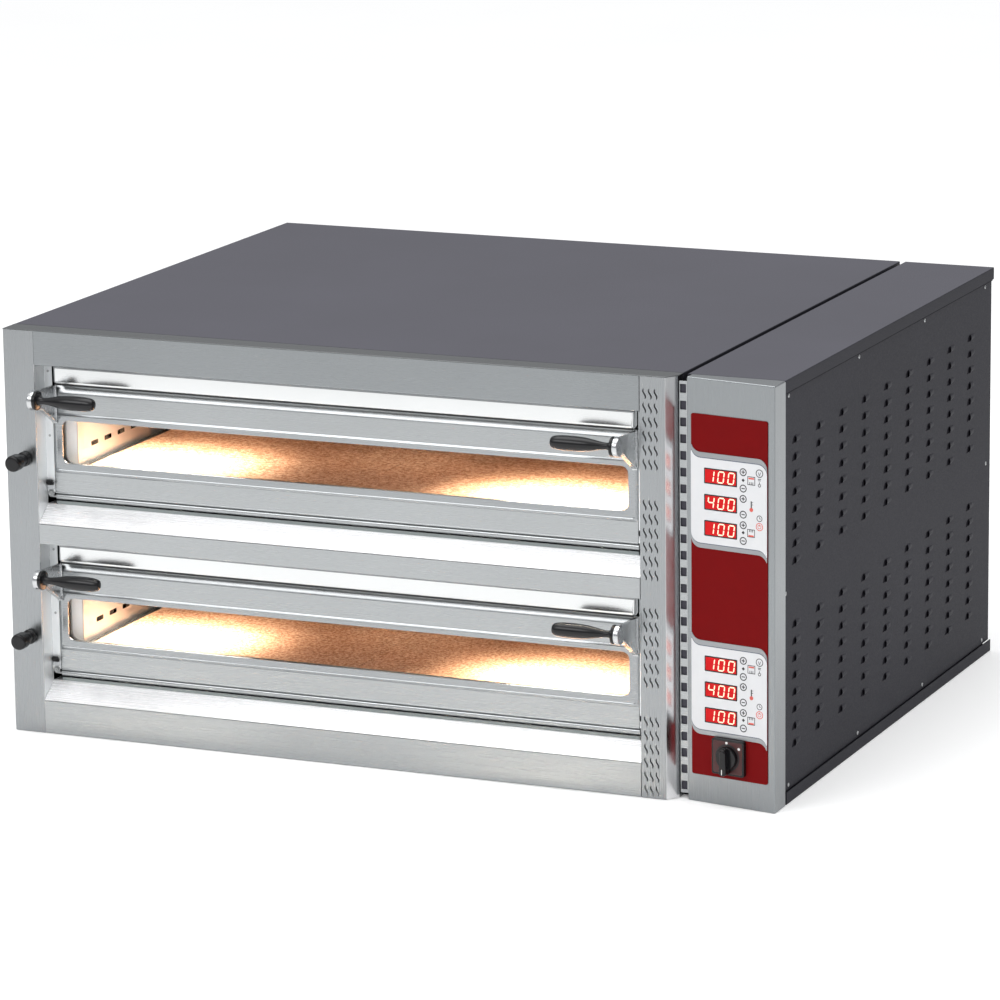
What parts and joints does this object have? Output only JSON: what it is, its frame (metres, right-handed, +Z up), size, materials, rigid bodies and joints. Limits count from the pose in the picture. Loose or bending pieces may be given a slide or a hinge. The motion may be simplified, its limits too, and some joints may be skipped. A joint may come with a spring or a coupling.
{
  "type": "countertop pizza oven",
  "caption": "Wide double-deck electric pizza oven with bottom-hinged glass doors, stone floors, side control box with displays and rotary switch.",
  "frame": {"origin": "centre of the casing's flat underside, midway across its width and between the main front face and the back", "axes": "+X to the operator's right along the width, +Y from the front towards the back, +Z up"},
  "size_m": [1.486, 1.2437, 0.75],
  "materials": {
    "satin_steel": "satin, brushed sheet",
    "bright_steel": "bright annealed sheet",
    "slate_paint": "fine satin powder coat, slate grey",
    "zinc_plate": "zinc plated, dull",
    "black_plastic": "glossy black moulding",
    "baking_stone": "rough grainy refractory stone",
    "clear_glass": "clear polished glass",
    "red_panel": "satin red foil",
    "keypad_white": "satin printed foil",
    "heater_sheath": "oxidised heater sheath"
  },
  "bodies": {
    "casing": {"back_panel": "slate_paint", "baking_stone_lower": "baking_stone", "baking_stone_upper": "baking_stone", "base_pan": "slate_paint", "bottom_band": "satin_steel", "bottom_heater_lower": "heater_sheath", "bottom_heater_upper": "heater_sheath", "cable_gland": "black_plastic", "chamber_liner_lower": "bright_steel", "chamber_liner_upper": "bright_steel", "contactor": "black_plastic", "control_back_panel": "slate_paint", "control_cover": "slate_paint", "control_front": "satin_steel", "control_inner_panel": "slate_paint", "control_side_panel": "slate_paint", "front_top_trim": "satin_steel", "inner_side_panel": "slate_paint", "keypad_lower": "keypad_white", "keypad_upper": "keypad_white", "left_pillar": "satin_steel", "left_side_panel": "slate_paint", "middle_band": "satin_steel", "oven_lamp_lower": "clear_glass", "oven_lamp_upper": "clear_glass", "red_panel": "red_panel", "right_pillar": "satin_steel", "sill_lower": "bright_steel", "sill_upper": "bright_steel", "switch_plate": "black_plastic", "temperature_probe_lower": "heater_sheath", "temperature_probe_upper": "heater_sheath", "top_band": "satin_steel", "top_cover": "slate_paint", "top_heater_lower": "heater_sheath", "top_heater_upper": "heater_sheath", "vent_strip": "zinc_plate", "visor_lower": "bright_steel", "visor_upper": "bright_steel"},
    "door_upper": {"door_shell_upper": "satin_steel", "door_inner_pan_upper": "satin_steel", "door_glass_upper": "clear_glass", "door_hinge_bar_upper": "zinc_plate", "door_ear_left_upper": "satin_steel", "door_ear_right_upper": "satin_steel", "door_grip_left_upper": "black_plastic", "door_grip_right_upper": "black_plastic"},
    "damper_upper": {"damper_knob_upper": "black_plastic", "damper_slide_upper": "zinc_plate"},
    "door_lower": {"door_shell_lower": "satin_steel", "door_inner_pan_lower": "satin_steel", "door_glass_lower": "clear_glass", "door_hinge_bar_lower": "zinc_plate", "door_ear_left_lower": "satin_steel", "door_ear_right_lower": "satin_steel", "door_grip_left_lower": "black_plastic", "door_grip_right_lower": "black_plastic"},
    "damper_lower": {"damper_knob_lower": "black_plastic", "damper_slide_lower": "zinc_plate"},
    "switch": {"switch_knob": "black_plastic"}
  },
  "joints": [
    {"name": "door_upper_hinge", "type": "hinge", "parent": "casing", "child": "door_upper", "pos_m": [0, -0.547, 0.437], "axis": [1, 0, 0], "range_deg": [0, 85]},
    {"name": "damper_upper_pull", "type": "slide", "parent": "casing", "child": "damper_upper", "axis": [0, -1, 0], "range_m": [0, 0.026]},
    {"name": "door_lower_hinge", "type": "hinge", "parent": "casing", "child": "door_lower", "pos_m": [0, -0.547, 0.106], "axis": [1, 0, 0], "range_deg": [0, 85]},
    {"name": "damper_lower_pull", "type": "slide", "parent": "casing", "child": "damper_lower", "axis": [0, -1, 0], "range_m": [0, 0.026]},
    {"name": "main_switch_turn", "type": "hinge", "parent": "casing", "child": "switch", "pos_m": [0.65381, -0.60199, 0.0905], "axis": [0.1672, 0.9859, 0], "range_deg": [0, 45]}
  ]
}
